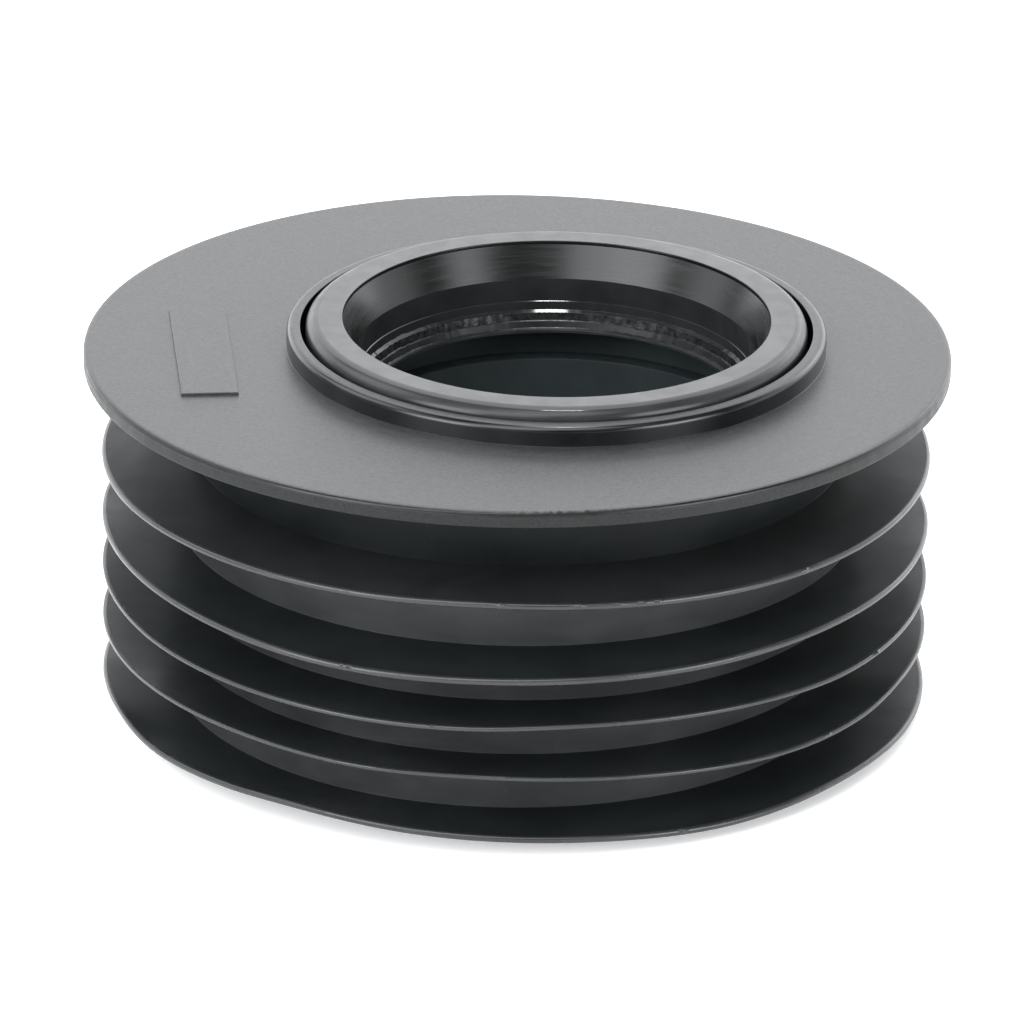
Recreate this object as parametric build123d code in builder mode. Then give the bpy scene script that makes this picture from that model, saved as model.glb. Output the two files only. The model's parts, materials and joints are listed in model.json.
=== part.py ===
"""Offset drain connector: a finned plug with a lip seal for a waste pipe.

The finned spigot pushes into a drain and its flange stops on the drain's rim. A collar on the
flange holds a rubber lip seal, and the pipe goes through it into the socket below. The pipe's
axis lies to one side of the spigot's axis, as far out as the seal's housing allows.

Frame: millimetres, +Z up along the spigot's axis, z = 0 at the base rim, where the part stands.
The pipe's axis is moved along +X, and the raised pad on the flange is on the -X side.
"""
import os
from math import isclose

from build123d import *

# Spigot, a tube that is open at the bottom
SPIGOT_DIAMETER = 93.0
SPIGOT_WALL = 3.2
SPIGOT_LEAD_IN = 0.8
SPIGOT_TAIL = 2.6  # base rim to the middle of the lowest fin
NECK_LENGTH = 12.0  # middle of the top fin to the flange
NECK_RELIEF = 1.6  # the neck is slimmer than the spigot by this much, all round

# Fins, thin flat discs that taper outwards
FIN_REACH = 10.0
FIN_ROOT_THICKNESS = 1.6
FIN_EDGE_THICKNESS = 0.8
FIN_ROOT_FILLET = 0.6
FIN_EDGE_ROUND = 0.15
LOWER_FIN_COUNT = 4
LOWER_FIN_PITCH = 7.8
TOP_FIN_PITCH = 10.8

# Flange
FLANGE_OVERHANG = 2.5  # beyond the fins
FLANGE_THICKNESS = 2.2
FLANGE_TOP_ROUND = 0.35
FLANGE_UNDER_ROUND = 0.25

# Waste pipe and the socket that it rests in
PIPE_DIAMETER = 56.0
PIPE_CLEARANCE = 0.3
SOCKET_DEPTH = 28.0  # seal seat to pipe stop
SOCKET_WALL = 2.2
STOP_WIDTH = 2.3
STOP_THICKNESS = 2.0

# Seal housing, whose upper end is the collar on the flange
HOUSING_WALL = 1.9
HOUSING_GAP = 1.3  # between the housing and the spigot's wall, where they are nearest
SEAT_DEPTH = 13.2  # below the flange's top face
SEAT_THICKNESS = 2.2
COLLAR_HEIGHT = 2.8
COLLAR_TOP_ROUND = 0.9
COLLAR_ROOT_FILLET = 0.2

# Lip seal
SEAL_WIDTH = 6.8  # pipe wall to housing bore
SEAL_STAND = 1.3  # above the collar
SEAL_CLEARANCE = 0.1
SEAL_REBATE = 0.6  # the upper part is slimmer than the foot by this much
SEAL_FOOT_HEIGHT = 6.2
SEAL_FOOT_WIDTH = 4.1
SEAL_TOP_ROUND = 1.7
MOUTH_FLARE = 1.1  # mouth is wider than the pipe, all round
MOUTH_STEP = 0.5
LEAD_IN_DEPTH = 4.8  # seal top to the end of the cone
GUIDE_LENGTH = 3.1
GUIDE_GRIP = 1.1  # guide is tighter than the pipe, all round
LIP_SLOPE_DEPTH = 3.3
LIP_GRIP = 3.0  # lip is tighter than the pipe, all round
LIP_LAND = 1.6
LIP_ROUND = 0.3
LIP_BACK_RISE = 1.6
LIP_THICKNESS = 2.6

# Raised pad on the flange
PAD_WIDTH = 7.7
PAD_LENGTH = 31.0
PAD_HEIGHT = 0.35
PAD_ROUND = 0.12
PAD_SHIFT = 2.5  # towards the collar, from midway between the collar and the flange's edge

# Radii about the spigot's axis
spigot_radius = SPIGOT_DIAMETER / 2
spigot_inner_radius = spigot_radius - SPIGOT_WALL
neck_radius = spigot_radius - NECK_RELIEF
fin_radius = spigot_radius + FIN_REACH
flange_radius = fin_radius + FLANGE_OVERHANG

# Radii about the pipe's axis
pipe_radius = PIPE_DIAMETER / 2
socket_bore_radius = pipe_radius + PIPE_CLEARANCE
socket_outer_radius = socket_bore_radius + SOCKET_WALL
stop_radius = socket_bore_radius - STOP_WIDTH
housing_bore_radius = pipe_radius + SEAL_WIDTH
housing_outer_radius = housing_bore_radius + HOUSING_WALL

# The pipe's axis is as far out as the housing allows, and central where the housing fills the spigot
pipe_offset = max(0, spigot_inner_radius - HOUSING_GAP - housing_outer_radius)
collar_side = pipe_offset - housing_outer_radius
pad_middle = (collar_side - flange_radius) / 2 + PAD_SHIFT

# Heights
lower_fin_heights = [SPIGOT_TAIL + turn * LOWER_FIN_PITCH for turn in range(LOWER_FIN_COUNT)]
top_fin_height = lower_fin_heights[-1] + TOP_FIN_PITCH
fin_heights = lower_fin_heights + [top_fin_height]
flange_under = top_fin_height + NECK_LENGTH
flange_top = flange_under + FLANGE_THICKNESS
collar_top = flange_top + COLLAR_HEIGHT
seal_top = collar_top + SEAL_STAND
seat_top = flange_top - SEAT_DEPTH
seat_under = seat_top - SEAT_THICKNESS
stop_top = seat_top - SOCKET_DEPTH
stop_under = stop_top - STOP_THICKNESS

# The pipe's axis, and the upright plane that sections about it are drawn on
pipe_axis = Axis((pipe_offset, 0, 0), (0, 0, 1))
pipe_plane = Plane(origin=(pipe_offset, 0, 0), x_dir=(1, 0, 0), z_dir=(0, -1, 0))


def fin_outline(height, radius_above):
    """The four corners of one fin's section, from its lower root to its upper root."""
    return [
        (spigot_radius, height - FIN_ROOT_THICKNESS / 2),
        (fin_radius, height - FIN_EDGE_THICKNESS / 2),
        (fin_radius, height + FIN_EDGE_THICKNESS / 2),
        (radius_above, height + FIN_ROOT_THICKNESS / 2),
    ]


def corners_at(sketch, radius, heights):
    """The sketch's corners at one radius and at any of the given heights."""
    return sketch.vertices().filter_by(
        lambda corner: isclose(corner.X, radius, abs_tol=1e-6)
        and any(isclose(corner.Y, height, abs_tol=1e-6) for height in heights)
    )


# Finned body: spigot, fins, flange, collar, seal housing and socket, moulded as one
spigot_outline = [(spigot_inner_radius, 0), (spigot_radius, 0)]
for fin_height in lower_fin_heights:
    spigot_outline += fin_outline(fin_height, spigot_radius)
spigot_outline += fin_outline(top_fin_height, neck_radius)
spigot_outline += [
    (neck_radius, flange_under),
    (flange_radius, flange_under),
    (flange_radius, flange_top),
    (0, flange_top),
    (0, flange_under),
    (spigot_inner_radius, flange_under),
]
root_heights = []
edge_heights = []
for fin_height in fin_heights:
    root_heights += [fin_height - FIN_ROOT_THICKNESS / 2, fin_height + FIN_ROOT_THICKNESS / 2]
    edge_heights += [fin_height - FIN_EDGE_THICKNESS / 2, fin_height + FIN_EDGE_THICKNESS / 2]
neck_heights = [root_heights[-1], flange_under]

with BuildPart() as finned_body:
    # Spigot, fins and flange
    with BuildSketch(Plane.XZ) as spigot_section:
        with BuildLine():
            Polyline(*spigot_outline, close=True)
        make_face()
        fillet(corners_at(spigot_section, spigot_radius, root_heights), FIN_ROOT_FILLET)
        fillet(corners_at(spigot_section, neck_radius, neck_heights), FIN_ROOT_FILLET)
        fillet(corners_at(spigot_section, fin_radius, edge_heights), FIN_EDGE_ROUND)
        fillet(corners_at(spigot_section, flange_radius, [flange_top]), FLANGE_TOP_ROUND)
        fillet(corners_at(spigot_section, flange_radius, [flange_under]), FLANGE_UNDER_ROUND)
        chamfer(corners_at(spigot_section, spigot_radius, [0]), SPIGOT_LEAD_IN)
    revolve(axis=Axis.Z)

    # Collar, seal housing and socket, solid at first
    with BuildSketch(pipe_plane) as housing_section:
        with BuildLine():
            Polyline(
                (0, stop_under),
                (socket_outer_radius, stop_under),
                (socket_outer_radius, seat_under),
                (housing_outer_radius, seat_under),
                (housing_outer_radius, collar_top),
                (0, collar_top),
                close=True,
            )
        make_face()
        fillet(corners_at(housing_section, housing_outer_radius, [collar_top]), COLLAR_TOP_ROUND)
    revolve(axis=pipe_axis)
    collar_root = finned_body.edges().filter_by(GeomType.CIRCLE).filter_by(
        lambda edge: isclose(edge.radius, housing_outer_radius, abs_tol=1e-6)
        and isclose(edge.arc_center.Z, flange_top, abs_tol=1e-6)
    )
    fillet(collar_root, COLLAR_ROOT_FILLET)

    # Way through for the pipe, with the seal's seat and the pipe's stop
    with BuildSketch(pipe_plane):
        with BuildLine():
            Polyline(
                (0, stop_under),
                (stop_radius, stop_under),
                (stop_radius, stop_top),
                (socket_bore_radius, stop_top),
                (socket_bore_radius, seat_top),
                (housing_bore_radius, seat_top),
                (housing_bore_radius, collar_top),
                (0, collar_top),
                close=True,
            )
        make_face()
    revolve(axis=pipe_axis, mode=Mode.SUBTRACT)

    # Raised pad
    with BuildSketch(Plane.XY.offset(flange_top)):
        with Locations((pad_middle, 0)):
            Rectangle(PAD_WIDTH, PAD_LENGTH)
    extrude(amount=PAD_HEIGHT)
    pad_face = finned_body.faces(Select.LAST).sort_by(Axis.Z)[-1]
    fillet(pad_face.edges(), PAD_ROUND)

# Lip seal, from the mouth down the inside to the foot, and up the outside
mouth_radius = pipe_radius + MOUTH_FLARE
guide_radius = pipe_radius - GUIDE_GRIP
lip_radius = pipe_radius - LIP_GRIP
foot_outer_radius = housing_bore_radius - SEAL_CLEARANCE
foot_inner_radius = foot_outer_radius - SEAL_FOOT_WIDTH
upper_outer_radius = foot_outer_radius - SEAL_REBATE
guide_top = seal_top - LEAD_IN_DEPTH
guide_bottom = guide_top - GUIDE_LENGTH
lip_top = guide_bottom - LIP_SLOPE_DEPTH
lip_bottom = lip_top - LIP_LAND
foot_top = seat_top + SEAL_FOOT_HEIGHT

with BuildPart() as seal_ring:
    with BuildSketch(pipe_plane) as seal_section:
        with BuildLine():
            Polyline(
                (mouth_radius, seal_top),
                (mouth_radius, seal_top - MOUTH_STEP),
                (guide_radius, guide_top),
                (guide_radius, guide_bottom),
                (lip_radius, lip_top),
                (lip_radius, lip_bottom),
                (guide_radius + LIP_THICKNESS, lip_bottom + LIP_BACK_RISE),
                (foot_inner_radius, foot_top),
                (foot_inner_radius, seat_top),
                (foot_outer_radius, seat_top),
                (foot_outer_radius, foot_top),
                (upper_outer_radius, foot_top + SEAL_REBATE),
                (upper_outer_radius, seal_top),
                close=True,
            )
        make_face()
        fillet(corners_at(seal_section, upper_outer_radius, [seal_top]), SEAL_TOP_ROUND)
        fillet(corners_at(seal_section, lip_radius, [lip_top, lip_bottom]), LIP_ROUND)
    revolve(axis=pipe_axis)

finned_body.part.label = "finned_body"
seal_ring.part.label = "seal_ring"

os.makedirs("parts", exist_ok=True)
export_step(finned_body.part, "parts/finned_body.step")
export_step(seal_ring.part, "parts/seal_ring.step")
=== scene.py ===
"""Offset drain connector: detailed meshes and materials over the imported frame, with a plain studio.

Sizes are in millimetres in the part's own frame: z = 0 at the base rim, the spigot's axis at
x = 0 and the pipe's axis on the +X side. Bearings are in degrees about an axis, from +X towards
+Y. The camera stands VIEW_TURN degrees past the -Y side, and what is placed by the photograph
(waves, burrs, flash and light) has its bearing counted from there, with -90 towards the camera.
"""
import json
from collections import namedtuple
from math import atan2, cos, pi, radians, sin, tan

import bmesh
import bpy
from mathutils import Matrix, Vector, noise


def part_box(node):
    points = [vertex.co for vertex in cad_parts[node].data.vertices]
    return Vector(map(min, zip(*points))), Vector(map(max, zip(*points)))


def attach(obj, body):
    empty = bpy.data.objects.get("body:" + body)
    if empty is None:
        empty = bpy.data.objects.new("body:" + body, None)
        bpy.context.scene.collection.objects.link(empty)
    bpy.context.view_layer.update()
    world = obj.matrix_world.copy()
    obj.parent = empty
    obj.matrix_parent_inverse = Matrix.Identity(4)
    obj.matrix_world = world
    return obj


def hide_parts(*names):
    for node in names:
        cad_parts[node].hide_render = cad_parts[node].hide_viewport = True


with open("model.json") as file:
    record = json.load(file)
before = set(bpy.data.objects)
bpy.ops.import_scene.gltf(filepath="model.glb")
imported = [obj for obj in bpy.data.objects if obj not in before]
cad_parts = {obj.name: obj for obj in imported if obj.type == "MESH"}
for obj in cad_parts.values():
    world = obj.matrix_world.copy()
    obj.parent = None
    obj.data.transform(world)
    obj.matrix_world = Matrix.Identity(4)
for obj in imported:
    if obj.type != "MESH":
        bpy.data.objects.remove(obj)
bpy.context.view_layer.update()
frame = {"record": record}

MM = 0.001  # metres in a millimetre
VIEW_TURN = 5.5  # degrees round the spigot's axis, from +X towards -Y

# Sizes that the frame gives
mounts = {mount["name"]: mount for mount in frame["record"]["mounts"]}
body_low, body_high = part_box("finned_body")
seal_low, seal_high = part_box("seal_ring")
pipe_x = mounts["pipe_seal"]["pos_m"][0] / MM
lip_radius = mounts["pipe_seal"]["dims"]["r_mm"]
fin_radius = mounts["drain_fins"]["dims"]["r_mm"]
flange_under = mounts["flange_underside"]["pos_m"][2] / MM
flange_radius = body_high[0] / MM
collar_top = body_high[2] / MM
seal_top = seal_high[2] / MM
seat_top = seal_low[2] / MM
foot_radius = (seal_high[0] - seal_low[0]) / 2 / MM

# Spigot and fins
SPIGOT_RADIUS = 46.5
SPIGOT_BORE = 43.3
SPIGOT_LEAD_IN = 0.8
NECK_RADIUS = 44.9
FIN_HEIGHTS = (2.6, 10.4, 18.2, 26.0, 36.8)
FIN_EDGES = (0.9, 0.6, 0.65, 0.95, 0.85)
FIN_ROOT = 1.6
FIN_FILLET = 0.05
FIN_ROUND = 0.4  # as a share of the fin's edge thickness
FIN_SHARES = (0.3, 0.5, 0.7, 0.85, 0.95)  # where a fin has rings, from its root to its edge
CORE_LEAN = 0.3  # the core stands this far towards the pipe, from the fins' common axis
CORE_LEAN_FROM = 27.0  # and leans away from it below this height, by this much in each millimetre
CORE_LEAN_RATE = 0.03

# Flange, with the moulding's parting line below its top edge
FLANGE_TOP = 51.0
FLANGE_EDGE_ROUND = 0.45
FLANGE_UNDER_ROUND = 0.25
PARTING_DROP = 0.58
PARTING_RIDGE = 0.07
RIDGE_BELOW = 0.10  # from the parting line down to the ridge's foot
RIDGE_ABOVE = 0.08
RIDGE_ROUND = 0.04
FLASH_FROM = -96.0  # the stretch, in bearings, where the rim's edge is torn
FLASH_TO = -72.0
FLASH_RISE = 0.3
FLASH_GRAIN = 1.7  # steps of noise in a degree
FLASH_SHARE = 0.15  # the more, the more of the stretch has flash
RIDGE_END = -100.0  # the parting line's ridge fades out from here, towards larger bearings
RIDGE_FADE = 8.0
FACE_MARGIN = 3.0  # from the rim to where the face's mesh turns coarse

# Collar, seal housing and pipe socket, about the pipe's axis
COLLAR_RADIUS = 36.7
COLLAR_BORE = 34.8
COLLAR_ROUND = 0.9
COLLAR_FILLET = 0.06
COLLAR_BORE_ROUND = 0.15
COLLAR_MARGIN = 2.0  # from the collar to where the flange's face starts
SEAT_THICKNESS = 2.2
SOCKET_RADIUS = 30.5
SOCKET_BORE = 28.3
STOP_RADIUS = 26.0
STOP_TOP = 9.8
STOP_THICKNESS = 2.0
INSIDE_ROUND = 0.2  # of the edges that are out of sight, on the seal too

# Raised pad on the flange
PAD_SIZE = (7.7, 31.0)
PAD_MIDDLE = -42.7
PAD_HEIGHT = 0.35
PAD_ROUND = 0.12
PAD_SUNK = 0.6
PAD_ROUND_STEPS = 3

# Seal, about the pipe's axis
SEAL_REBATE = 0.6
SEAL_FOOT_TOP = 44.0
SEAL_FOOT_BORE = 30.6
SEAL_FOOT_ROUND = 0.3
SEAL_ROUND = 1.7
REBATE_ROUND = 0.1
MOUTH_RADIUS = 29.1
MOUTH_STEP = 0.5
MOUTH_ROUND = 0.1
GUIDE_RADIUS = 26.9
GUIDE_TOP = 50.3
GUIDE_ROUND = 0.15
LIP_TOP = 43.35
LIP_LAND = 0.55
LIP_ROUND = 0.3
LIP_BACK = 29.5
LIP_BACK_HEIGHT = 43.9

# Small bevels down the lip: radius, height, width, look, look of the steep step below, edge
LIP_BEVELS = (
    (26.75, 47.05, 0.16, "seal_lip", "seal_lip", None),
    (26.33, 45.74, 0.58, "seal_lip", "seal_torn", "torn"),
    (25.80, 44.50, 0.20, "seal_torn", "lip_edge", "torn"),
    (25.35, 43.60, 0.18, "seal_torn", "lip_edge", "torn"),
)
BEVEL_SLOPE = 29.7  # degrees from level
BEVEL_ROUND = 0.1  # as a share of the bevel's width
TORN_DEPTH = 0.10
TORN_SIZE = 0.7
SMOOTH_MIDDLE = 92.0  # the bearing of the stretch where the lip isn't torn
SMOOTH_HALF = 6.0
SMOOTH_FADE = 9.0

# Mesh fineness, and where finishes meet
COARSE = 256
FINE = 1024
ARC_STEPS = 3
LARGE_ROUND = 0.9  # a round of this radius or more has twice the steps
CAP_SHARE = 0.6  # from this share of a round on, it may have a look of its own
TOP_START = 0.03  # from a round's end to where the flat top's finish starts
SHARP_ANGLE = 35  # degrees between two faces, from which their edge stays sharp

# How far each fin's edge stands above its flat place, at bearings round the spigot
FIN_WAVES = (
    ((-165, 1.4), (-150, 0.7), (-133, 1.2), (-121, 1.6), (-102, 0.9), (-79, 0.3), (-59, -0.3),
     (-36, 0.3), (-10, 0.1), (30, 0.6), (75, 0.2), (120, 0.8), (160, 0.9)),
    ((-164, 1.8), (-133, 1.9), (-112, 1.5), (-95, 1.7), (-74, 1.1), (-50, 0.0), (-34, 0.1),
     (-20, 1.0), (20, 0.9), (70, 0.3), (115, 1.0), (155, 1.3)),
    ((-164, 1.4), (-145, 1.0), (-114, 0.6), (-98, 0.7), (-80, 1.2), (-55, 0.7), (-39, 0.2),
     (-20, 0.4), (25, 0.8), (80, 0.5), (130, 1.1), (165, 1.5)),
    ((-164, 1.1), (-143, 0.7), (-116, -0.3), (-90, -0.2), (-64, 0.0), (-40, 0.5), (-15, 0.6),
     (35, 0.2), (85, 0.5), (135, 0.4), (170, 0.9)),
    ((-164, -0.8), (-140, -0.5), (-112, -0.3), (-93, -0.1), (-62, -0.9), (-40, -1.0), (-15, -0.7),
     (35, -0.4), (85, -0.7), (135, -0.3), (170, -0.7)),
)

# Burrs on the fins' upper edges: fin, bearing, half width in degrees, size in millimetres
BURRS = (
    (4, -113.6, 1.3, 0.10), (4, -91.8, 0.5, 0.22), (4, -81.2, 0.6, 0.30), (4, -75.7, 0.5, 0.16),
    (4, -72.6, 0.5, 0.22), (4, -70.2, 0.5, 0.16), (4, -47.0, 0.4, 0.18),
    (3, -113.0, 0.6, 0.28), (3, -58.0, 0.4, 0.18), (2, -30.2, 0.6, 0.30), (2, -101.0, 0.4, 0.15),
    (1, -41.6, 0.6, 0.30), (0, -66.0, 0.5, 0.20),
)

# A corner of an outline, and a ring of points that it turns into round the axis. The strip that
# follows has its look, edge says how it is shifted, and cap is the look of the last of its round.
Corner = namedtuple(
    "Corner", "radius height round look edge count cap", defaults=(0, "skin", None, COARSE, None)
)
Ring = namedtuple("Ring", "centre radius height look edge count")


def arc(before, corner, after, radius):
    """The points that round one corner of an outline."""
    to_before = (before - corner).normalized()
    to_after = (after - corner).normalized()
    half = to_before.angle(to_after) / 2
    start = to_before * (radius / tan(half))
    end = to_after * (radius / tan(half))
    centre = (to_before + to_after).normalized() * (radius / sin(half))
    first = atan2(start.y - centre.y, start.x - centre.x)
    turn = atan2(end.y - centre.y, end.x - centre.x) - first
    turn = (turn + pi) % (2 * pi) - pi
    steps = ARC_STEPS * 2 if radius >= LARGE_ROUND else ARC_STEPS
    points = []
    for step in range(steps + 1):
        angle = first + turn * step / steps
        points.append(corner + centre + Vector((cos(angle), sin(angle))) * radius)
    return points


def rings_along(corners, centre):
    """One ring for each point of an outline, its corners rounded as they say."""
    rings = []
    for place, corner in enumerate(corners):
        middle = Vector((corner.radius, corner.height))
        points = [middle]
        if corner.round:
            before = corners[place - 1]
            after = corners[(place + 1) % len(corners)]
            points = arc(
                Vector((before.radius, before.height)),
                middle,
                Vector((after.radius, after.height)),
                corner.round,
            )
        for step, point in enumerate(points):
            capped = corner.cap and step >= CAP_SHARE * (len(points) - 1)
            look = corner.cap if capped else corner.look
            rings.append(Ring(centre, point.x, point.y, look, corner.edge, corner.count))
    return rings


def wave(knots, bearing):
    """A smooth closed curve through (bearing, value) knots."""
    spread = [(a - 360, v) for a, v in knots] + list(knots) + [(a + 360, v) for a, v in knots]
    place = max(i for i, (a, _) in enumerate(spread) if a <= bearing)
    (a0, v0), (a1, v1), (a2, v2), (a3, v3) = spread[place - 1:place + 3]
    slope1 = (v2 - v0) / (a2 - a0)
    slope2 = (v3 - v1) / (a3 - a1)
    span = a2 - a1
    t = (bearing - a1) / span
    return (
        v1 * (1 + 2 * t) * (1 - t) ** 2
        + v2 * (3 - 2 * t) * t ** 2
        + slope1 * span * t * (1 - t) ** 2
        - slope2 * span * t ** 2 * (1 - t)
    )


def lathe(name, rings, looks, shift):
    """A closed mesh through rings that may differ in centre and count, joined back to the first."""
    mesh = bpy.data.meshes.new(name)
    points = []
    starts = []
    for ring in rings:
        starts.append(len(points))
        for turn in range(ring.count):
            bearing = -180 + 360 * turn / ring.count
            centre, radius, height = shift(ring, bearing)
            x = centre + radius * cos(radians(bearing))
            y = radius * sin(radians(bearing))
            points.append((x * MM, y * MM, height * MM))
    faces = []
    face_looks = []
    for place, ring in enumerate(rings):
        following = (place + 1) % len(rings)
        other = rings[following]
        steps = min(ring.count, other.count)
        here = ring.count // steps
        there = other.count // steps
        for turn in range(steps):
            lower = [starts[place] + (turn * here + i) % ring.count for i in range(here + 1)]
            upper = [starts[following] + (turn * there + i) % other.count for i in range(there + 1)]
            faces.append(lower + upper[::-1])
            face_looks.append(looks.index(ring.look))
    mesh.from_pydata(points, [], faces)
    mesh.polygons.foreach_set("material_index", face_looks)
    return mesh


def finish_piece(name, mesh, looks):
    """Points a mesh's faces outwards, smooths it between its sharp edges and gives it materials."""
    build = bmesh.new()
    build.from_mesh(mesh)
    bmesh.ops.recalc_face_normals(build, faces=build.faces)
    if build.calc_volume(signed=True) < 0:
        bmesh.ops.reverse_faces(build, faces=build.faces)
    build.to_mesh(mesh)
    build.free()
    mesh.shade_smooth()
    mesh.set_sharp_from_angle(angle=radians(SHARP_ANGLE))
    for look in looks:
        mesh.materials.append(bpy.data.materials[look])
    piece = bpy.data.objects.new(name, mesh)
    bpy.context.scene.collection.objects.link(piece)
    weighted = piece.modifiers.new("Weighted normals", "WEIGHTED_NORMAL")
    weighted.keep_sharp = True
    return piece


class Look:
    """A material under construction: its node tree, its shader and its surface coordinates."""

    def __init__(self, name, specular, roughness):
        material = bpy.data.materials.new(name)
        material.use_nodes = True
        self.tree = material.node_tree
        self.shader = self.tree.nodes["Principled BSDF"]
        self.shader.inputs["Specular IOR Level"].default_value = specular
        self.shader.inputs["Roughness"].default_value = roughness
        self.place = self.tree.nodes.new("ShaderNodeTexCoord").outputs["Object"]
        self.normal = None

    def noise(self, size, detail=3.0, stretch=(1, 1, 1), distortion=0.0):
        """A noise whose features are about size millimetres across, times stretch along each axis."""
        mapping = self.tree.nodes.new("ShaderNodeMapping")
        mapping.inputs["Scale"].default_value = [1 / (size * MM * along) for along in stretch]
        self.tree.links.new(self.place, mapping.inputs["Vector"])
        texture = self.tree.nodes.new("ShaderNodeTexNoise")
        texture.inputs["Scale"].default_value = 1.0
        texture.inputs["Detail"].default_value = detail
        texture.inputs["Distortion"].default_value = distortion
        self.tree.links.new(mapping.outputs["Vector"], texture.inputs["Vector"])
        return texture.outputs["Fac"]

    def spread(self, value, low, high, start=0.35, stop=0.65):
        """A value from a noise, spread between two numbers."""
        node = self.tree.nodes.new("ShaderNodeMapRange")
        node.inputs["From Min"].default_value = start
        node.inputs["From Max"].default_value = stop
        node.inputs["To Min"].default_value = low
        node.inputs["To Max"].default_value = high
        self.tree.links.new(value, node.inputs["Value"])
        return node.outputs["Result"]

    def blend(self, value, first, second, start=0.35, stop=0.65):
        """A colour between two, by a value from a noise."""
        node = self.tree.nodes.new("ShaderNodeValToRGB")
        low, high = node.color_ramp.elements
        low.position = start
        high.position = stop
        low.color = (*first, 1)
        high.color = (*second, 1)
        self.tree.links.new(value, node.inputs["Fac"])
        return node.outputs["Color"]

    def mix(self, amount, first, second):
        """One colour over another, by an amount."""
        node = self.tree.nodes.new("ShaderNodeMix")
        node.data_type = "RGBA"
        self.tree.links.new(amount, node.inputs[0])
        self.tree.links.new(first, node.inputs[6])
        node.inputs[7].default_value = (*second, 1)
        return node.outputs[2]

    def bump(self, height, depth):
        """Relief of a depth in millimetres, over what relief there is."""
        node = self.tree.nodes.new("ShaderNodeBump")
        node.inputs["Distance"].default_value = depth * MM
        self.tree.links.new(height, node.inputs["Height"])
        if self.normal:
            self.tree.links.new(self.normal, node.inputs["Normal"])
        self.normal = node.outputs["Normal"]

    def finish(self, colour, roughness):
        """Joins the colour, roughness and relief to the shader."""
        self.tree.links.new(colour, self.shader.inputs["Base Color"])
        self.tree.links.new(roughness, self.shader.inputs["Roughness"])
        if self.normal:
            self.tree.links.new(self.normal, self.shader.inputs["Normal"])


def black(level, red=0.97, blue=1.03):
    """A slightly cool black."""
    return (level * red, level, level * blue)


def shade_tinted_black(level):
    """A black with a painted shade tint of green and blue, the cast that dark rubber takes where little
    light reaches it.
    """
    return black(level, red=0.80, blue=1.05)


DUST = black(0.09)


def matt_texture():
    """The flange's face: a fine matt grain, with a little dust."""
    look = Look("matt_texture", specular=0.485, roughness=0.4)
    colour = look.blend(look.noise(size=0.4, detail=2), black(0.018), black(0.035))
    dust = look.noise(size=0.5, detail=2)
    colour = look.mix(look.spread(dust, 0, 0.4, start=0.68, stop=0.80), colour, DUST)
    look.bump(look.noise(size=0.7, detail=2), depth=0.012)
    look.bump(look.noise(size=0.22, detail=2), depth=0.020)
    look.finish(colour, look.spread(look.noise(size=0.5, detail=2), 0.385, 0.415))


def rim_side_painted_shade():
    """The flange's rim: painted shade, a darker black than its face's, with a fine grain."""
    look = Look("rim_side_painted_shade", specular=0.29, roughness=0.45)
    colour = look.blend(look.noise(size=0.4, detail=3), black(0.002), black(0.009))
    look.bump(look.noise(size=1.1, detail=4), depth=0.012)
    look.bump(look.noise(size=0.25, detail=2), depth=0.006)
    look.finish(colour, look.spread(look.noise(size=2.5, detail=5), 0.38, 0.48))


def flange_edge_painted_shade():
    """The rounded edge between the flange's face and its rim: darker than both, a painted dark reflection.
    """
    look = Look("flange_edge_painted_shade", specular=0.34, roughness=0.34)
    colour = look.blend(look.noise(size=3, detail=5), black(0.002), black(0.006))
    look.bump(look.noise(size=0.25, detail=2), depth=0.006)
    look.finish(colour, look.spread(look.noise(size=2.5, detail=5), 0.30, 0.40))


def skin(name, level, specular, roughness, tone=black):
    """The spigot and the fins: smooth, with a low sheen, flow marks and a little dust. The copies differ in
    level, sheen and tone, which paint the light and shade where each sits.
    """
    look = Look(name, specular, roughness)
    flow = look.noise(size=9, detail=4, stretch=(1, 1, 0.3), distortion=0.6)
    colour = look.blend(flow, tone(level * 0.85), tone(level * 1.15))
    dust = look.noise(size=0.45, detail=1)
    colour = look.mix(look.spread(dust, 0, 0.4, start=0.76, stop=0.84), colour, DUST)
    look.bump(look.noise(size=6, detail=3), depth=0.012)
    look.bump(look.noise(size=0.35, detail=2), depth=0.003)
    look.finish(colour, look.spread(look.noise(size=6, detail=5), roughness - 0.05, roughness + 0.05))


def collar_skin():
    """The collar: smooth, and a little glossier than the spigot."""
    look = Look("collar_skin", specular=0.36, roughness=0.2)
    colour = look.blend(look.noise(size=7, detail=3), black(0.005), black(0.010))
    look.bump(look.noise(size=4, detail=3), depth=0.010)
    look.bump(look.noise(size=0.3, detail=2), depth=0.003)
    look.finish(colour, look.spread(look.noise(size=4, detail=5), 0.16, 0.24))


def inside_skin():
    """The bores and the underside that face no light, with the tint of painted shade."""
    look = Look("inside_skin", specular=0.10, roughness=0.5)
    colour = look.blend(look.noise(size=8, detail=3), shade_tinted_black(0.030), shade_tinted_black(0.038))
    look.bump(look.noise(size=0.5, detail=3), depth=0.008)
    look.finish(colour, look.spread(look.noise(size=3, detail=3), 0.42, 0.58))


def round_cap_painted_light():
    """The last of a round, where it turns into a flat top: painted light, a lighter black than the round's,
    satin, without much shine.
    """
    look = Look("round_cap_painted_light", specular=0.46, roughness=0.42)
    colour = look.blend(look.noise(size=8, detail=4), black(0.032), black(0.038))
    look.bump(look.noise(size=0.4, detail=2), depth=0.003)
    look.finish(colour, look.spread(look.noise(size=3, detail=4), 0.38, 0.46))


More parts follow.
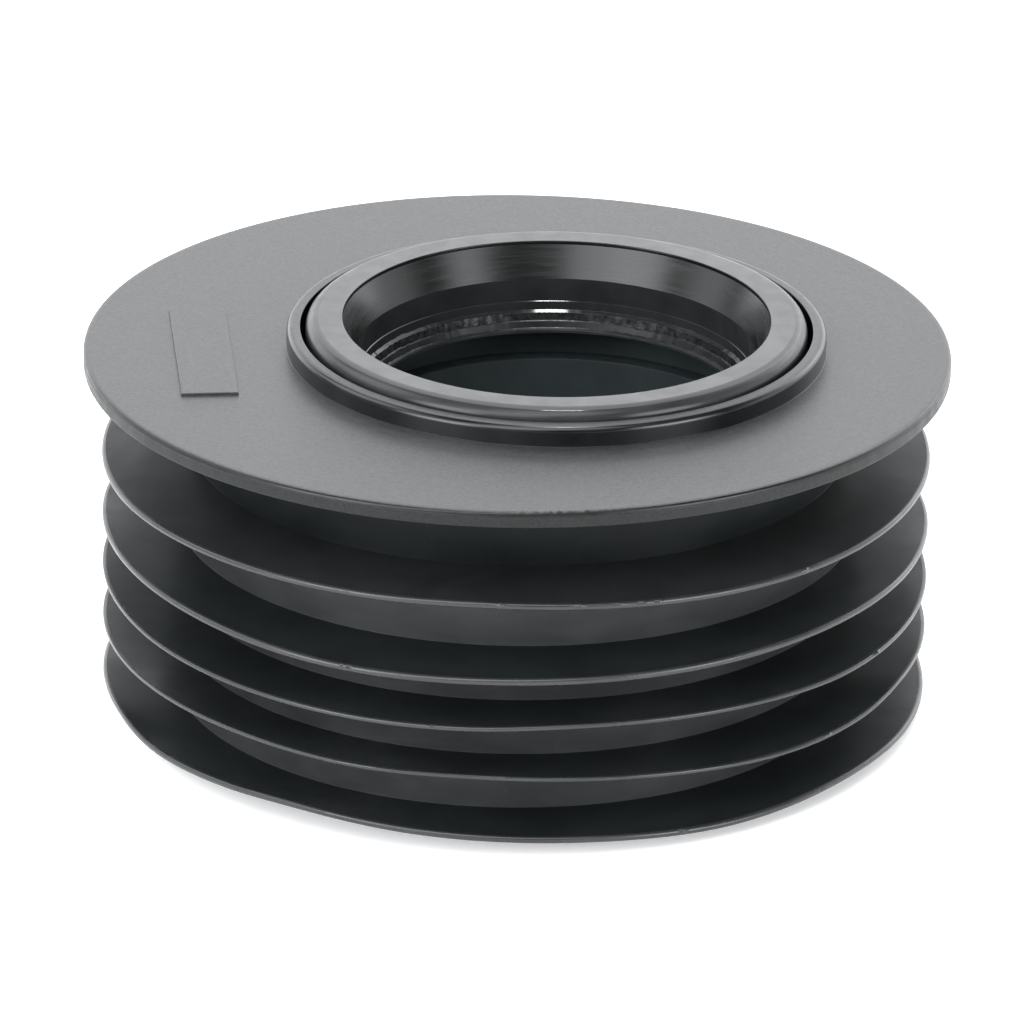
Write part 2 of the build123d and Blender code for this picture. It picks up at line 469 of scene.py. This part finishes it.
def seal_side():
    """The seal's rounded outer edge and side: smooth dark rubber."""
    look = Look("seal_side", specular=0.12, roughness=0.4)
    look.shader.inputs["Coat Weight"].default_value = 0.25
    look.shader.inputs["Coat Roughness"].default_value = 0.10
    colour = look.blend(look.noise(size=8, detail=4), black(0.018), black(0.026))
    look.bump(look.noise(size=1.2, detail=3), depth=0.004)
    look.finish(colour, look.spread(look.noise(size=3, detail=4), 0.36, 0.44))


def seal_top_painted_light():
    """The seal's top: satin rubber, with painted light: a lighter black than the seal's side."""
    look = Look("seal_top_painted_light", specular=0.50, roughness=0.35)
    colour = look.blend(look.noise(size=10, detail=4), black(0.033), black(0.039))
    look.bump(look.noise(size=1.2, detail=3), depth=0.004)
    look.bump(look.noise(size=0.2, detail=2), depth=0.003)
    look.finish(colour, look.spread(look.noise(size=3, detail=4), 0.32, 0.40))


def seal_bore():
    """The seal's lead-in cone: smooth, with faint lines that run round it."""
    look = Look("seal_bore", specular=0.40, roughness=0.26)
    lines = look.noise(size=1, detail=4, stretch=(9, 9, 0.4))
    colour = look.blend(lines, black(0.002), black(0.005))
    look.bump(lines, depth=0.002)
    look.finish(colour, look.spread(lines, 0.23, 0.29))


def seal_lip():
    """The guide and the lip's upper steps: smooth, glossy rubber."""
    look = Look("seal_lip", specular=0.19, roughness=0.1)
    colour = look.blend(look.noise(size=4, detail=4), black(0.013), black(0.017))
    look.finish(colour, look.spread(look.noise(size=2, detail=3), 0.08, 0.12))


def lip_edge():
    """The lip's edge and the steps next to it: dull, where they have rubbed."""
    look = Look("lip_edge", specular=0.13, roughness=0.35)
    colour = look.blend(look.noise(size=2, detail=4), black(0.010), black(0.016))
    look.bump(look.noise(size=0.5, detail=3), depth=0.006)
    look.finish(colour, look.spread(look.noise(size=1.2, detail=4), 0.30, 0.40))


def seal_torn():
    """The lip's lower bevels and the step above them: rubber with a torn, mottled skin."""
    look = Look("seal_torn", specular=0.28, roughness=0.3)
    mottle = look.noise(size=0.7, detail=5)
    colour = look.blend(mottle, black(0.006), black(0.022), start=0.42, stop=0.72)
    look.bump(mottle, depth=0.02)
    look.bump(look.noise(size=0.25, detail=3), depth=0.01)
    look.finish(colour, look.spread(look.noise(size=1.2, detail=4), 0.22, 0.36))


matt_texture()
rim_side_painted_shade()
flange_edge_painted_shade()
# The fins' faces and the spigot: the fin rubber, with the tint of painted shade.
skin("skin", level=0.012, specular=0.11, roughness=0.35, tone=shade_tinted_black)
# Painted shade: the top fin's upper face, under the flange, has less sheen than the other fins' faces for
# the flange's shadow; its black is untinted and a little lighter.
skin("top_fin_painted_shade", level=0.016, specular=0.08, roughness=0.38)
# Painted light: the fins' rims get a lighter black and more sheen than their faces, for the light that they
# catch.
skin("fin_rim_painted_light", level=0.022, specular=0.42, roughness=0.28)
# Painted light: the core's walls between the fins get a black more than twice as light as the fins' faces,
# for the light that reaches them.
skin("core_painted_light", level=0.030, specular=0.20, roughness=0.38)
# Painted shade: the neck under the flange gets a darker black with the shade tint, for the flange's shadow.
skin("neck_painted_shade", level=0.008, specular=0.12, roughness=0.35, tone=shade_tinted_black)
OTHER_LOOKS = (
    collar_skin, round_cap_painted_light, inside_skin, seal_top_painted_light, seal_side, seal_bore, seal_lip, seal_torn,
    lip_edge,
)
for make_look in OTHER_LOOKS:
    make_look()


def fin_corners(place):
    """The outline of one fin, from its lower root to its upper root."""
    height = FIN_HEIGHTS[place]
    edge = FIN_EDGES[place]
    reach = fin_radius - SPIGOT_RADIUS
    top_fin = height == FIN_HEIGHTS[-1]
    below = [Corner(SPIGOT_RADIUS, height - FIN_ROOT / 2, FIN_FILLET, "skin", place)]
    above = [Corner(NECK_RADIUS, height + FIN_ROOT / 2, FIN_FILLET, "neck_painted_shade", place)]
    if not top_fin:
        above = [Corner(SPIGOT_RADIUS, height + FIN_ROOT / 2, FIN_FILLET, "core_painted_light", place)]
    for share in FIN_SHARES:
        radius = SPIGOT_RADIUS + reach * share
        half = (FIN_ROOT + (edge - FIN_ROOT) * share) / 2
        below.append(Corner(radius, height - half, 0, "skin", place))
        above.insert(0, Corner(radius, height + half, 0, "top_fin_painted_shade" if top_fin else "skin", place))
    rim = [
        Corner(fin_radius, height - edge / 2, edge * FIN_ROUND, "fin_rim_painted_light", place, FINE),
        Corner(fin_radius, height + edge / 2, edge * FIN_ROUND, "fin_rim_painted_light", place, FINE),
    ]
    return below + rim + above


def flash(bearing):
    """How much of the torn flash stands up at one bearing round the rim, from 0 to 1."""
    if not FLASH_FROM < bearing < FLASH_TO:
        return 0
    fade = sin(pi * (bearing - FLASH_FROM) / (FLASH_TO - FLASH_FROM))
    return max(0, noise.noise(Vector((bearing * FLASH_GRAIN, 0, 0))) + FLASH_SHARE) * fade


def burrs(place, bearing):
    """How far the burrs stand out of one fin's upper edge at one bearing."""
    size = 0
    for fin, middle, half_width, height in BURRS:
        if fin == place:
            size += height * max(0, 1 - ((bearing - middle) / half_width) ** 2)
    return size


def body_shift(ring, bearing):
    """A body ring's centre, radius and height at one bearing, with its lean, waves, burrs and flash."""
    seen = bearing + VIEW_TURN
    if ring.edge == "rim":
        rise = FLASH_RISE * flash(seen)
        return ring.centre, ring.radius - rise / 2, ring.height + rise
    if ring.edge == "ridge":
        sunk = PARTING_RIDGE * min(1, max(0, (seen - RIDGE_END) / RIDGE_FADE))
        return ring.centre, ring.radius - sunk, ring.height
    if ring.edge is None:
        return ring.centre, ring.radius, ring.height
    lean = CORE_LEAN - CORE_LEAN_RATE * max(0, CORE_LEAN_FROM - ring.height)
    if ring.edge == "core" or ring.radius <= SPIGOT_RADIUS:
        return lean, ring.radius, ring.height
    share = (ring.radius - SPIGOT_RADIUS) / (fin_radius - SPIGOT_RADIUS)
    bend = share ** 2 * (3 - share) / 2
    height = ring.height + wave(FIN_WAVES[ring.edge], seen) * bend
    radius = ring.radius
    if ring.look == "fin_rim_painted_light" and ring.height > FIN_HEIGHTS[ring.edge]:
        size = burrs(ring.edge, seen)
        radius += size
        height += size / 2
    return lean * (1 - share), radius, height


def raised_pad():
    """The bare pad on the flange: a slab with rounded top edges, sunk a little for the union."""
    build = bmesh.new()
    bmesh.ops.create_cube(build, size=1)
    width, length = PAD_SIZE
    for vertex in build.verts:
        x = PAD_MIDDLE + vertex.co.x * width
        y = vertex.co.y * length
        z = FLANGE_TOP + (PAD_HEIGHT if vertex.co.z > 0 else -PAD_SUNK)
        vertex.co = Vector((x, y, z)) * MM
    top = max(build.faces, key=lambda face: face.calc_center_median().z)
    bmesh.ops.bevel(
        build,
        geom=list(top.edges),
        offset=PAD_ROUND * MM,
        segments=PAD_ROUND_STEPS,
        affect="EDGES",
        profile=0.5,
    )
    mesh = bpy.data.meshes.new("pad")
    build.to_mesh(mesh)
    build.free()
    return bpy.data.objects.new("pad", mesh)


def united(mesh, extra):
    """A mesh joined with another piece's, as one closed surface."""
    holder = bpy.data.objects.new("holder", mesh)
    bpy.context.scene.collection.objects.link(holder)
    bpy.context.scene.collection.objects.link(extra)
    union = holder.modifiers.new("Union", "BOOLEAN")
    union.operation = "UNION"
    union.solver = "EXACT"
    union.object = extra
    bpy.context.view_layer.update()
    result = bpy.data.meshes.new_from_object(holder.evaluated_get(bpy.context.evaluated_depsgraph_get()))
    bpy.data.objects.remove(holder)
    bpy.data.objects.remove(extra)
    return result


def finned_body():
    """The flange, collar, housing, socket, spigot and fins, as one closed mesh."""
    looks = ["matt_texture", "rim_side_painted_shade", "flange_edge_painted_shade", "skin", "top_fin_painted_shade", "fin_rim_painted_light", "core_painted_light"]
    looks += ["neck_painted_shade", "collar_skin", "round_cap_painted_light", "inside_skin"]
    spigot = [
        Corner(SPIGOT_BORE, flange_under, 0, "inside_skin"),
        Corner(SPIGOT_BORE, 0, 0, "inside_skin"),
        Corner(SPIGOT_RADIUS - SPIGOT_LEAD_IN, 0, 0, "skin", "core"),
        Corner(SPIGOT_RADIUS, SPIGOT_LEAD_IN, 0, "skin", "core"),
    ]
    for place in range(len(FIN_HEIGHTS)):
        spigot += fin_corners(place)
    ridge = FLANGE_TOP - PARTING_DROP
    rim_radius = flange_radius - PARTING_RIDGE
    spigot += [
        Corner(NECK_RADIUS, flange_under, FIN_FILLET, "neck_painted_shade", "core"),
        Corner(rim_radius, flange_under, FLANGE_UNDER_ROUND, "rim_side_painted_shade"),
        Corner(rim_radius, ridge - RIDGE_BELOW, RIDGE_ROUND, "rim_side_painted_shade", None, FINE),
        Corner(flange_radius, ridge, RIDGE_ROUND, "rim_side_painted_shade", "ridge", FINE),
        Corner(rim_radius, ridge + RIDGE_ABOVE, RIDGE_ROUND, "rim_side_painted_shade", None, FINE),
        Corner(rim_radius, FLANGE_TOP, FLANGE_EDGE_ROUND, "flange_edge_painted_shade", "rim", FINE, "matt_texture"),
        Corner(rim_radius - 2 * FLANGE_EDGE_ROUND, FLANGE_TOP, 0, "matt_texture", None, FINE),
        Corner(flange_radius - FACE_MARGIN, FLANGE_TOP, 0, "matt_texture"),
    ]
    seat_under = seat_top - SEAT_THICKNESS
    housing = [
        Corner(COLLAR_RADIUS + COLLAR_MARGIN, FLANGE_TOP, 0, "matt_texture"),
        Corner(COLLAR_RADIUS, FLANGE_TOP, COLLAR_FILLET, "collar_skin"),
        Corner(COLLAR_RADIUS, collar_top, COLLAR_ROUND, "collar_skin", cap="round_cap_painted_light"),
        # Painted light: the collar's flat top takes the flange face's lighter black, not the collar's own.
        Corner(COLLAR_RADIUS - COLLAR_ROUND - TOP_START, collar_top, 0, "matt_texture"),
        Corner(COLLAR_BORE, collar_top, COLLAR_BORE_ROUND, "collar_skin"),
        Corner(COLLAR_BORE, seat_top, 0, "inside_skin"),
        Corner(SOCKET_BORE, seat_top, INSIDE_ROUND, "inside_skin"),
        Corner(SOCKET_BORE, STOP_TOP, 0, "inside_skin"),
        Corner(STOP_RADIUS, STOP_TOP, INSIDE_ROUND, "inside_skin"),
        Corner(STOP_RADIUS, STOP_TOP - STOP_THICKNESS, INSIDE_ROUND, "inside_skin"),
        Corner(SOCKET_RADIUS, STOP_TOP - STOP_THICKNESS, INSIDE_ROUND, "inside_skin"),
        Corner(SOCKET_RADIUS, seat_under, INSIDE_ROUND, "inside_skin"),
        Corner(COLLAR_RADIUS, seat_under, INSIDE_ROUND, "inside_skin"),
        Corner(COLLAR_RADIUS, flange_under, INSIDE_ROUND, "inside_skin"),
    ]
    rings = rings_along(spigot, 0) + rings_along(housing, pipe_x)
    mesh = lathe("connector_body", rings, looks, body_shift)
    return finish_piece("connector_body", united(mesh, raised_pad()), looks)


def seal_shift(ring, bearing):
    """A seal ring's centre, radius and height at one bearing, with the tears in the lip's steps."""
    if ring.edge != "torn":
        return ring.centre, ring.radius, ring.height
    from_middle = abs((bearing + VIEW_TURN - SMOOTH_MIDDLE + 180) % 360 - 180)
    amount = min(1, max(0, (from_middle - SMOOTH_HALF) / SMOOTH_FADE))
    x = ring.radius * cos(radians(bearing))
    y = ring.radius * sin(radians(bearing))
    tear = TORN_DEPTH * amount * noise.noise(Vector((x, y, ring.height)) / TORN_SIZE)
    return ring.centre, ring.radius + tear, ring.height + tear


def seal_ring():
    """The lip seal, as one closed mesh."""
    looks = ["seal_side", "round_cap_painted_light", "seal_top_painted_light", "seal_bore", "seal_lip", "seal_torn", "lip_edge"]
    looks += ["inside_skin"]
    upper_radius = foot_radius - SEAL_REBATE
    corners = [
        Corner(upper_radius, seal_top, SEAL_ROUND, "seal_side", cap="round_cap_painted_light"),
        Corner(upper_radius - SEAL_ROUND - TOP_START, seal_top, 0, "seal_top_painted_light"),
        Corner(MOUTH_RADIUS, seal_top, MOUTH_ROUND, "seal_bore"),
        Corner(MOUTH_RADIUS, seal_top - MOUTH_STEP, MOUTH_ROUND, "seal_bore"),
        Corner(GUIDE_RADIUS, GUIDE_TOP, GUIDE_ROUND, "seal_lip"),
    ]
    for radius, height, width, look, step_look, edge in LIP_BEVELS:
        across = width / 2 * cos(radians(BEVEL_SLOPE))
        down = width / 2 * sin(radians(BEVEL_SLOPE))
        rounding = width * BEVEL_ROUND
        corners.append(Corner(radius + across, height + down, rounding, look, edge, FINE))
        corners.append(Corner(radius - across, height - down, rounding, step_look, edge, FINE))
    corners += [
        Corner(lip_radius, LIP_TOP, LIP_ROUND, "lip_edge"),
        Corner(lip_radius, LIP_TOP - LIP_LAND, LIP_ROUND, "inside_skin"),
        Corner(LIP_BACK, LIP_BACK_HEIGHT, 0, "inside_skin"),
        Corner(SEAL_FOOT_BORE, SEAL_FOOT_TOP, SEAL_FOOT_ROUND, "inside_skin"),
        Corner(SEAL_FOOT_BORE, seat_top, INSIDE_ROUND, "inside_skin"),
        Corner(foot_radius, seat_top, INSIDE_ROUND, "inside_skin"),
        Corner(foot_radius, SEAL_FOOT_TOP, INSIDE_ROUND, "inside_skin"),
        Corner(upper_radius, SEAL_FOOT_TOP + SEAL_REBATE, REBATE_ROUND, "seal_side"),
    ]
    mesh = lathe("lip_seal", rings_along(corners, pipe_x), looks, seal_shift)
    return finish_piece("lip_seal", mesh, looks)


body = finned_body()
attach(body, "root")
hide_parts("finned_body")

seal = seal_ring()
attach(seal, "root")
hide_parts("seal_ring")

# Camera, at the photograph's angle
CAMERA_PLACE = (0.389, -1079.0, 476.8)  # before its turn
CAMERA_ELEVATION = 22.69
CAMERA_ROLL = 0.788
CAMERA_LENS = 296.64
SENSOR_WIDTH = 36.0
CAMERA_REACH = 50.0  # in metres

camera_data = bpy.data.cameras.new("Camera")
camera_data.lens = CAMERA_LENS
camera_data.sensor_width = SENSOR_WIDTH
camera_data.clip_end = CAMERA_REACH
camera = bpy.data.objects.new("Camera", camera_data)
bpy.context.scene.collection.objects.link(camera)
view_turn = Matrix.Rotation(radians(-VIEW_TURN), 4, "Z")
look_down = Matrix.Rotation(radians(90 - CAMERA_ELEVATION), 4, "X")
roll = Matrix.Rotation(radians(CAMERA_ROLL), 4, "Z")
camera.matrix_world = view_turn @ Matrix.Translation(Vector(CAMERA_PLACE) * MM) @ look_down @ roll
bpy.context.scene.camera = camera

# Floor
FLOOR_HALF = 3.0  # in metres
FLOOR_WHITE = 0.93
FLOOR_ROUGHNESS = 0.9
FLOOR_GLOW = 0.35  # lightens the part's shadow
floor_mesh = bpy.data.meshes.new("Floor")
floor_corners = [(x * FLOOR_HALF, y * FLOOR_HALF, 0) for x, y in ((-1, -1), (1, -1), (1, 1), (-1, 1))]
floor_mesh.from_pydata(floor_corners, [], [(0, 1, 2, 3)])
floor_material = bpy.data.materials.new("floor_paper")
floor_material.use_nodes = True
floor_shader = floor_material.node_tree.nodes["Principled BSDF"]
floor_shader.inputs["Base Color"].default_value = (FLOOR_WHITE, FLOOR_WHITE, FLOOR_WHITE, 1)
floor_shader.inputs["Roughness"].default_value = FLOOR_ROUGHNESS
floor_shader.inputs["Specular IOR Level"].default_value = 0.0
floor_shader.inputs["Emission Color"].default_value = (1, 1, 1, 1)
floor_shader.inputs["Emission Strength"].default_value = FLOOR_GLOW
floor_mesh.materials.append(floor_material)
floor = bpy.data.objects.new("Floor", floor_mesh)
bpy.context.scene.collection.objects.link(floor)

# Studio: large soft panels far round the part, as bearing, elevation, half width and strength
PANELS = (
    (-140, 12, 22, 10.6),
    (-140, 34, 22, 1.9),
    (-115, 34, 22, 5.3),
    (-90, 60, 27, 5.1),
    (-40, 12, 22, 10.8),
    (15, 10, 28, 1.9),
    (50, 10, 28, 2.7),
    (50, 34, 28, 3.1),
    (90, 10, 28, 3.0),
    (130, 10, 28, 3.2),
    (170, 34, 28, 4.2),
    (105, 52, 22, 3.3),
)
PANEL_CORE = 0.25  # the even middle of a panel, as a share of its half width
STUDIO_TINT = (0.985, 1.0, 1.02, 1)

world = bpy.data.worlds.new("Studio")
bpy.context.scene.world = world
world.use_nodes = True
studio = world.node_tree
direction = studio.nodes.new("ShaderNodeTexCoord").outputs["Generated"]
light = None
for bearing, elevation, half_width, strength in PANELS:
    level = cos(radians(elevation))
    towards = Vector((level * cos(radians(bearing)), level * sin(radians(bearing)), sin(radians(elevation))))
    facing = studio.nodes.new("ShaderNodeVectorMath")
    facing.operation = "DOT_PRODUCT"
    facing.inputs[1].default_value = view_turn @ towards
    studio.links.new(direction, facing.inputs[0])
    panel = studio.nodes.new("ShaderNodeMapRange")
    panel.interpolation_type = "SMOOTHSTEP"
    panel.inputs["From Min"].default_value = cos(radians(half_width))
    panel.inputs["From Max"].default_value = cos(radians(half_width * PANEL_CORE))
    panel.inputs["To Max"].default_value = strength
    studio.links.new(facing.outputs["Value"], panel.inputs["Value"])
    if light:
        both = studio.nodes.new("ShaderNodeMath")
        studio.links.new(light, both.inputs[0])
        studio.links.new(panel.outputs["Result"], both.inputs[1])
        light = both.outputs[0]
    else:
        light = panel.outputs["Result"]
studio.links.new(light, studio.nodes["Background"].inputs["Strength"])
studio.nodes["Background"].inputs["Color"].default_value = STUDIO_TINT

# A lamp that faces straight down, whose shine shows on the lip's bevels
LAMP_PLACE = (0.047, 0.05, 1.5)  # in metres, before the view's turn
LAMP_SIZE = (0.21, 0.10)
LAMP_POWER = 6.4

lamp_data = bpy.data.lights.new("Overhead", "AREA")
lamp_data.shape = "RECTANGLE"
lamp_data.size, lamp_data.size_y = LAMP_SIZE
lamp_data.energy = LAMP_POWER
lamp = bpy.data.objects.new("Overhead", lamp_data)
bpy.context.scene.collection.objects.link(lamp)
lamp.matrix_world = view_turn @ Matrix.Translation(LAMP_PLACE)
lamp.visible_camera = False

bpy.context.scene.view_settings.view_transform = "Standard"
